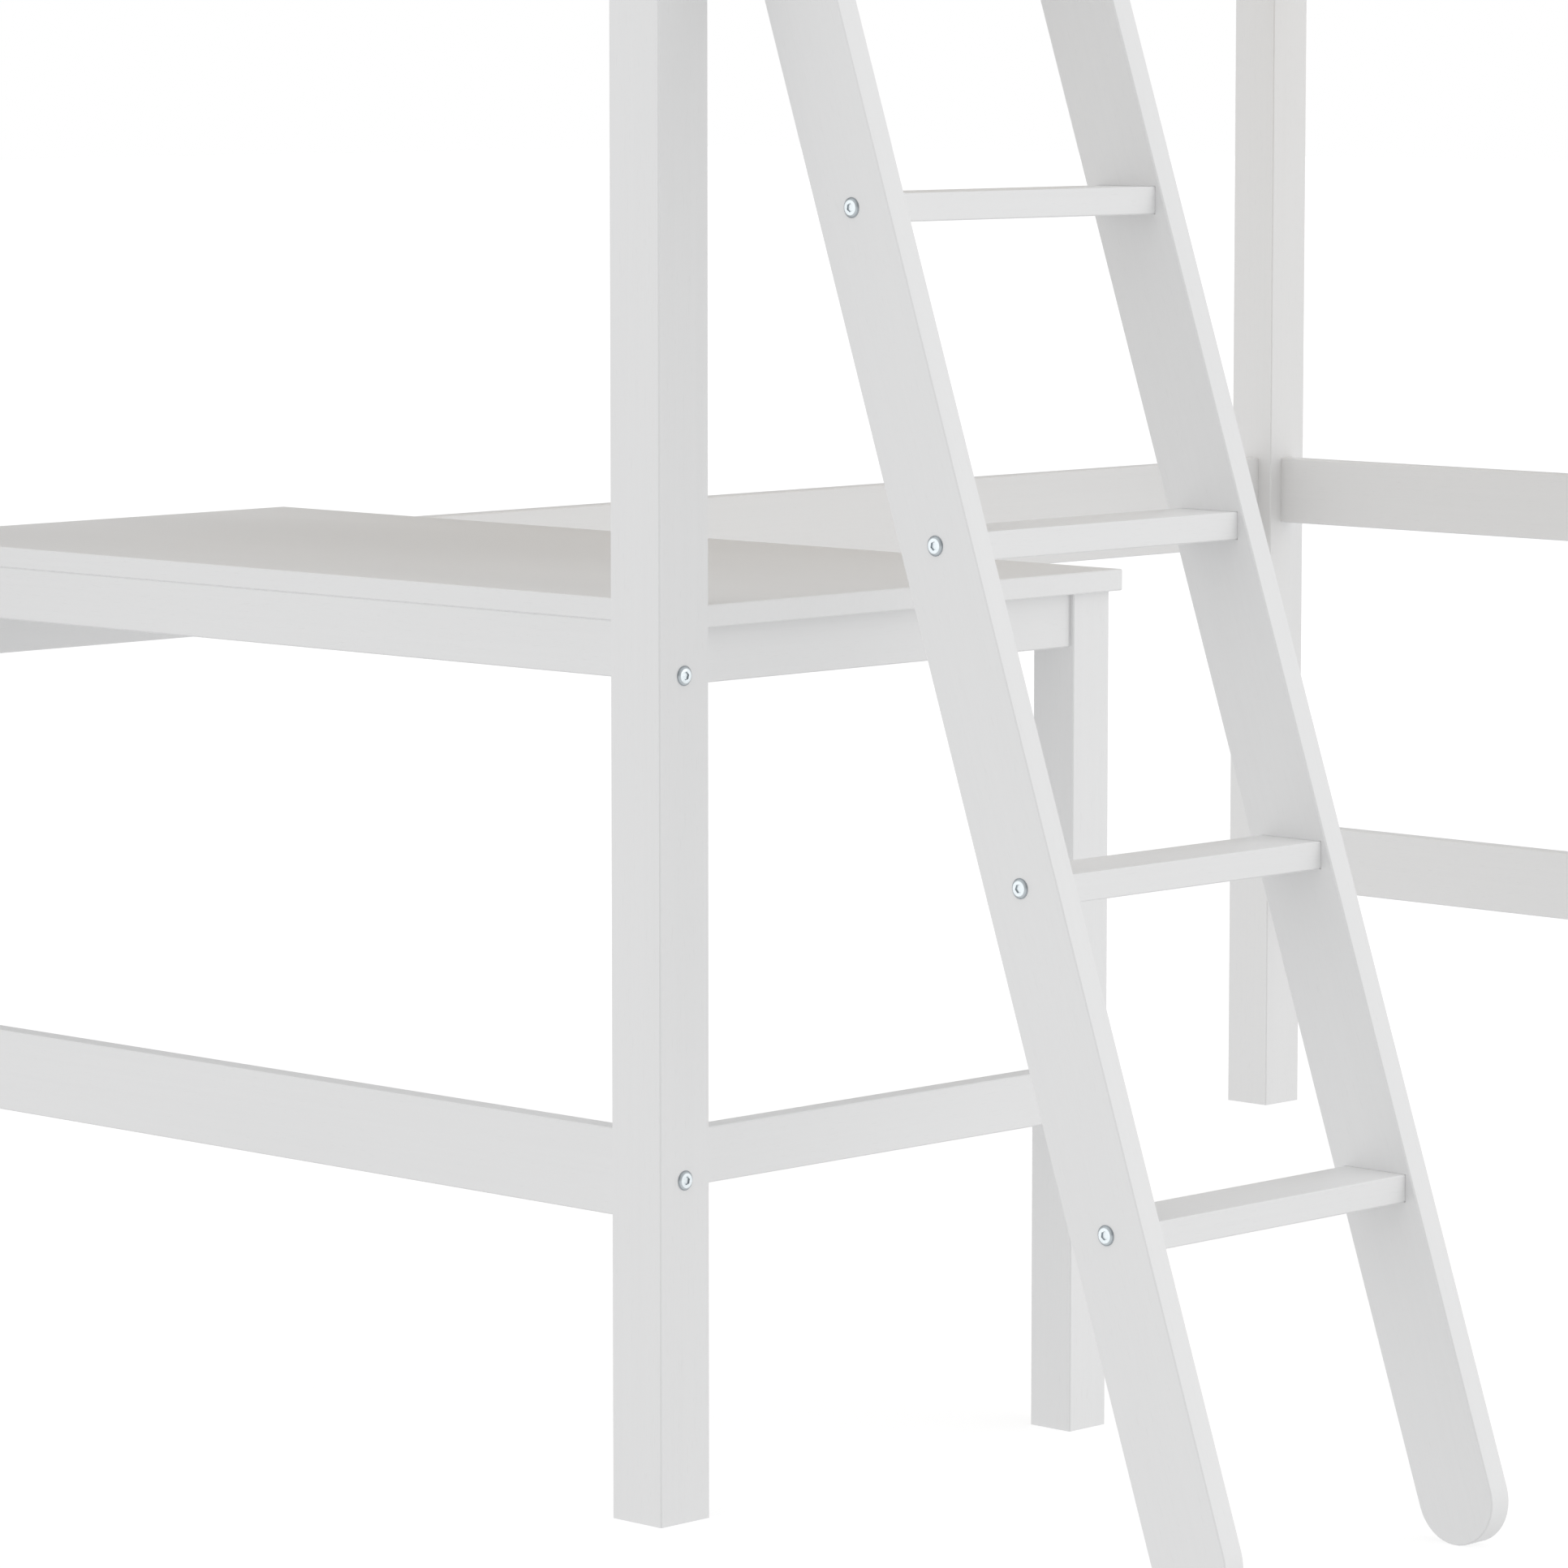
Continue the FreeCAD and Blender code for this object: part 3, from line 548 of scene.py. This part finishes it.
def front_and_back(x, z):
    """Return the seats of a pair of bolts through the posts into a rail across the bed."""
    return [((x, posts_low.y, z), FRONT), ((x, posts_high.y, z), BACK)]


def left_and_right(y, z):
    """Return the seats of a pair of bolts through the posts into a rail along the bed."""
    return [((posts_low.x, y, z), LEFT), ((posts_high.x, y, z), RIGHT)]


RAIL_BOLT = 0.095
rail_seats = []
for rail in END_RAILS:
    rail_seats += front_and_back(middle_of(rail).x, middle_of(rail).z)
rail_bolts = fasteners("bolts_end_rails", bolt_shape("rail_bolt", RAIL_BOLT), rail_seats, seed=1)
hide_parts("rail_bolts")

ANGLE_BOLT = 0.063
angle_bolt_x = middle_of("post_front_left").x
angle_seats = front_and_back(angle_bolt_x, middle_of("desk_bracket_front").z)
angle_bolts = fasteners("bolts_desk_angles", bolt_shape("angle_bolt", ANGLE_BOLT), angle_seats, seed=2)
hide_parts("desk_bracket_bolts")

STEP_BOLT = 0.057
step_seats = []
for stringer, side, axis in zip(STRINGERS, (LOW, HIGH), (LEFT, RIGHT)):
    for step in STEPS:
        step_seats.append(((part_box(stringer)[side].x, *middle_of(step).yz), axis))
step_bolts = fasteners("bolts_ladder_steps", bolt_shape("step_bolt", STEP_BOLT), step_seats, seed=3)
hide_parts("ladder_step_bolts")

HOOK_BOLT = 0.055
rail_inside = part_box("side_rail_front")[HIGH].y
hook_height = middle_of("ladder_hook_bolts").z
hook_seats = [((middle_of(stringer).x, rail_inside, hook_height), BACK) for stringer in STRINGERS]
hook_bolts = fasteners("bolts_ladder_hooks", bolt_shape("hook_bolt", HOOK_BOLT), hook_seats, seed=4)
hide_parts("ladder_hook_bolts")


# Bolts of the deck rails and the back rail: the same zinc bolts, two for each end of a side rail
# and one for each end of the others, at heights that keep them clear of each other in the posts.
QUARTER = 0.25
deck_seats = []
for rail in SIDE_RAILS:
    low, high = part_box(rail)
    for share in (QUARTER, 1 - QUARTER):
        deck_seats += left_and_right(middle_of(rail).y, low.z + share * (high.z - low.z))
for rail in DECK_END_RAILS:
    deck_seats += front_and_back(middle_of(rail).x, middle_of(rail).z)
deck_seats += left_and_right(middle_of("back_rail").y, middle_of("back_rail").z)
fasteners("bolts_deck_rails", bolt_shape("deck_bolt", RAIL_BOLT), deck_seats, seed=5)


# Steel angles: two bent zinc-plated strips in the corners between the left posts and the end apron.
# One leg takes the post's bolt with a six-sided nut and the other is screwed to the apron.
TO_BACK, TO_FRONT = 1, -1
ANGLES = {"desk_bracket_front": TO_BACK, "desk_bracket_back": TO_FRONT}
ANGLE_THICKNESS = 0.003
NUT_FLATS = 0.010
NUT_THICKNESS = 0.004
NUT_CHAMFER = 0.0006
# Painted shade on the nut's top, chamfer and sides, in place of the shade and reflections that their
# slopes would show.
NUT_TOP_SHADE, NUT_CHAMFER_SHADE, NUT_SIDE_SHADE = 0.2, 0.5, 0.3
dress(zinc, "zinc_steel", *ANGLES)


def nut_shape(name):
    """Make a nut that faces up, with its seat at the origin's height."""
    side = six_sided(NUT_FLATS)
    return turned_shape(
        name,
        [
            (0, NUT_THICKNESS, NUT_TOP_SHADE),
            ((NUT_FLATS - NUT_CHAMFER) / 2, NUT_THICKNESS, NUT_CHAMFER_SHADE),
            (side, NUT_THICKNESS - NUT_CHAMFER, NUT_SIDE_SHADE),
            (side, 0, NUT_SIDE_SHADE),
            (0, 0, NUT_SIDE_SHADE),
        ],
    )


nut_seats = []
for angle, way in ANGLES.items():
    post_side = LOW if way == TO_BACK else HIGH
    inner_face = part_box(angle)[post_side].y + way * ANGLE_THICKNESS
    nut_seats.append(((angle_bolt_x, inner_face, middle_of(angle).z), (0, way, 0)))
fasteners("nuts_desk_angles", nut_shape("angle_nut"), nut_seats, seed=9)


# Screws: small zinc-plated wood screws with a low domed head and a cross recess. They hold each
# slat to the cleats, the cleats to the side rails, the boards to the uprights and the angles
# to the apron.
def cross(reach, width):
    """Return how far a cross recess reaches from its middle, as a function of the angle."""
    quarter = FULL_TURN / 4

    def at(angle):
        off = abs((angle + quarter / 2) % quarter - quarter / 2)
        return min(reach, width / 2 / max(math.sin(off), width / 2 / reach))

    return at


SCREW_HEAD = 0.0075
SCREW_SHANK = 0.004
DOME_RISE = 0.09 * SCREW_HEAD
DOME_TOP = (0.31 * SCREW_HEAD, 0.84 * DOME_RISE)
DOME_SIDE = (0.42 * SCREW_HEAD, 0.5 * DOME_RISE)
DOME_EDGE = 0.04 * SCREW_HEAD
SCREW_CONE = 0.3 * SCREW_HEAD
CROSS_TOP = (0.27 * SCREW_HEAD, 0.12 * SCREW_HEAD)
CROSS_TOP_RISE = 0.8 * DOME_RISE
CROSS_FLOOR = (0.15 * SCREW_HEAD, 0.07 * SCREW_HEAD)
CROSS_FLOOR_DEPTH = 0.14 * SCREW_HEAD
CROSS_DEPTH = 0.16 * SCREW_HEAD
# Painted shade on the screw: a dark cross recess for the shade inside it, and darker dome sides, edge and
# shank.
DOME_SHADE, DOME_SIDE_SHADE, DOME_EDGE_SHADE, CROSS_SHADE = 0, 0.2, 0.4, 0.8


def screw_shape(name, length):
    """Make a screw that faces up, with the rim of its head at the origin's height."""
    head, shank = SCREW_HEAD / 2, SCREW_SHANK / 2
    return turned_shape(
        name,
        [
            (0, -CROSS_DEPTH, CROSS_SHADE),
            (cross(*CROSS_FLOOR), -CROSS_FLOOR_DEPTH, CROSS_SHADE),
            (cross(*CROSS_TOP), CROSS_TOP_RISE, DOME_SHADE),
            (*DOME_TOP, DOME_SHADE),
            (*DOME_SIDE, DOME_SIDE_SHADE),
            (head, 0, DOME_EDGE_SHADE),
            (head, -DOME_EDGE, SHANK_SHADE),
            (shank, -SCREW_CONE, SHANK_SHADE),
            (shank, 2 * SCREW_SHANK - length, SHANK_SHADE),
            (0, -length, SHANK_SHADE),
        ],
    )


SLAT_SCREW = 0.040
slat_seats = []
for slat in SLATS:
    for cleat in CLEATS:
        slat_seats.append(((middle_of(slat).x, middle_of(cleat).y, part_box(slat)[HIGH].z), UP))
slat_screw = screw_shape("slat_screw", SLAT_SCREW)
fasteners("screws_slats", slat_screw, slat_seats, seed=6, largest_turn=FULL_TURN)

CLEAT_SCREW = 0.035
CLEAT_SCREWS = 7
cleat_seats = []
for cleat, side, axis in zip(CLEATS, (HIGH, LOW), (BACK, FRONT)):
    low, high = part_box(cleat)
    for number in range(CLEAT_SCREWS):
        x = low.x + (number + 0.5) * (high.x - low.x) / CLEAT_SCREWS
        cleat_seats.append(((x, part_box(cleat)[side].y, middle_of(cleat).z), axis))
cleat_screw = screw_shape("cleat_screw", CLEAT_SCREW)
fasteners("screws_cleats", cleat_screw, cleat_seats, seed=7, largest_turn=FULL_TURN)

UPRIGHT_SCREW = 0.032
SCREW_SPREAD = 0.022
slats_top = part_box(SLATS[0])[HIGH].z
upright_seats = []
for upright, side in UPRIGHTS.items():
    inside, axis = (HIGH, BACK) if side == "front" else (LOW, FRONT)
    board_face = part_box(f"side_rail_{side}")[inside].y
    rail_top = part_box(f"side_rail_{side}")[HIGH].z
    levels = [(slats_top + rail_top) / 2]
    levels += [middle_of(f"guard_{side}_{level}").z for level in GUARD_LEVELS]
    for level in levels:
        for step in (-SCREW_SPREAD, SCREW_SPREAD):
            upright_seats.append(((middle_of(upright).x, board_face, level + step), axis))
upright_screw = screw_shape("upright_screw", UPRIGHT_SCREW)
fasteners("screws_uprights", upright_screw, upright_seats, seed=8, largest_turn=FULL_TURN)

ANGLE_SCREW = 0.018
ANGLE_SCREW_REACHES = (0.016, 0.032)
apron_seats = []
for angle, way in ANGLES.items():
    low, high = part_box(angle)
    corner = low.y if way == TO_BACK else high.y
    for reach in ANGLE_SCREW_REACHES:
        apron_seats.append(((high.x - ANGLE_THICKNESS, corner + way * reach, middle_of(angle).z), LEFT))
angle_screw = screw_shape("angle_screw", ANGLE_SCREW)
fasteners("screws_desk_angles", angle_screw, apron_seats, seed=10, largest_turn=FULL_TURN)


# Studio floor: plain and pale. It glows a little, so that it stays white, but lights nothing itself,
# since the surround below stands for the light that comes up from it.
FLOOR_HALF = 40.0
FLOOR_DULL = (0.39, 0.39, 0.39)
FLOOR_PALE = (0.41, 0.41, 0.41)
FLOOR_GLOW = 0.69
FLOOR_ROUGHNESS = 0.9
SPECKLE_SCALE = 3
FLOOR_CORNERS = ((-1, -1), (1, -1), (1, 1), (-1, 1))
floor_mesh = bpy.data.meshes.new("floor")
corners = [(x * FLOOR_HALF, y * FLOOR_HALF, 0) for x, y in FLOOR_CORNERS]
floor_mesh.from_pydata(corners, [], [(0, 1, 2, 3)])
floor = bpy.data.objects.new("floor", floor_mesh)
bpy.context.scene.collection.objects.link(floor)
floor_finish, floor_shader, floor_wire = new_finish(
    "pale_floor", Roughness=FLOOR_ROUGHNESS, Emission_Color=(1, 1, 1, 1), Emission_Strength=FLOOR_GLOW
)
floor_place = floor_wire.node("ShaderNodeTexCoord", output="Object")
speckle = floor_wire.node(
    "ShaderNodeTexNoise", {}, {"Vector": floor_place, "Scale": SPECKLE_SCALE, "Detail": 3}
)
feed(floor_shader, Base_Color=mixed(floor_wire, speckle, FLOOR_DULL, FLOOR_PALE))
floor_mesh.materials.append(floor_finish)
floor.visible_diffuse = False
floor.visible_shadow = False


# Camera: a long lens off the corner between the desk end and the ladder side, a little below
# the deck and tilted down.
EYE = Vector((-4.77059, -4.06103, 1.19251))
LENS = 157.41
SENSOR = 36.0
TILT_DOWN = 6.4033
HEADING = -45.8975
camera = bpy.data.objects.new("camera", bpy.data.cameras.new("camera"))
bpy.context.scene.collection.objects.link(camera)
camera.data.sensor_width = SENSOR
camera.data.lens = LENS
camera.location = EYE
camera.rotation_euler = Euler((math.radians(90 - TILT_DOWN), 0, math.radians(HEADING)))
bpy.context.scene.camera = camera
bpy.context.scene.view_settings.view_transform = "Standard"


# Studio surround: broad bright walls on both sides of the camera, a bright ceiling, and less light
# from behind the camera, behind the bed and below. Past the bed the camera sees plain white.
TO_CEILING = Vector(UP)
TO_CAMERA = Vector((EYE.x, EYE.y, 0)).normalized()
TO_RIGHT = TO_CEILING.cross(TO_CAMERA)
SURROUND = (
    (TO_CAMERA, 0.55),
    (-TO_CAMERA, 0.325),
    (TO_RIGHT, 1.25),
    (-TO_RIGHT, 1.17),
    (TO_CEILING, 1.0),
    (-TO_CEILING, 0.505),
)
FOCUS = 5.0
world = bpy.data.worlds.new("studio_surround")
world.use_nodes = True
bpy.context.scene.world = world
sky = Wire(world.node_tree)
outward = sky.node("ShaderNodeTexCoord", output="Generated")
glow, total = 0, 0
for axis, brightness in SURROUND:
    facing = sky.node(
        "ShaderNodeVectorMath", {"operation": "DOT_PRODUCT"}, {0: outward, 1: axis}, output="Value"
    )
    share = sky.maths("EXPONENT", facing * FOCUS)
    glow = glow + share * brightness
    total = total + share
glow = glow / total
seen = sky.node("ShaderNodeLightPath", output="Is Camera Ray")
backdrop = world.node_tree.nodes["Background"]
backdrop.inputs["Color"].default_value = (1, 1, 1, 1)
feed(backdrop, Strength=glow + seen * (1 - glow))


# Studio lamps: two large soft discs, one on the ladder's side and a broad one past the desk end.
# They give the faces on those two sides a little more light than the surround does.
def soft_light(name, place, aim, size, power):
    """Add a disc of light that faces its aim."""
    light = bpy.data.lights.new(name, "AREA")
    light.shape = "DISK"
    light.size = size
    light.energy = power
    lamp = bpy.data.objects.new(name, light)
    bpy.context.scene.collection.objects.link(lamp)
    lamp.location = place
    lamp.rotation_euler = (Vector(aim) - Vector(place)).to_track_quat("-Z", "Y").to_euler()


soft_light("ladder_side_light", place=(2.6, -4.6, 1.4), aim=(0.0, 0.0, 0.8), size=2.5, power=5.9)
soft_light("desk_side_light", place=(-11.0, -1.5, 2.5), aim=(-0.3, 0.0, 0.8), size=9.0, power=43)
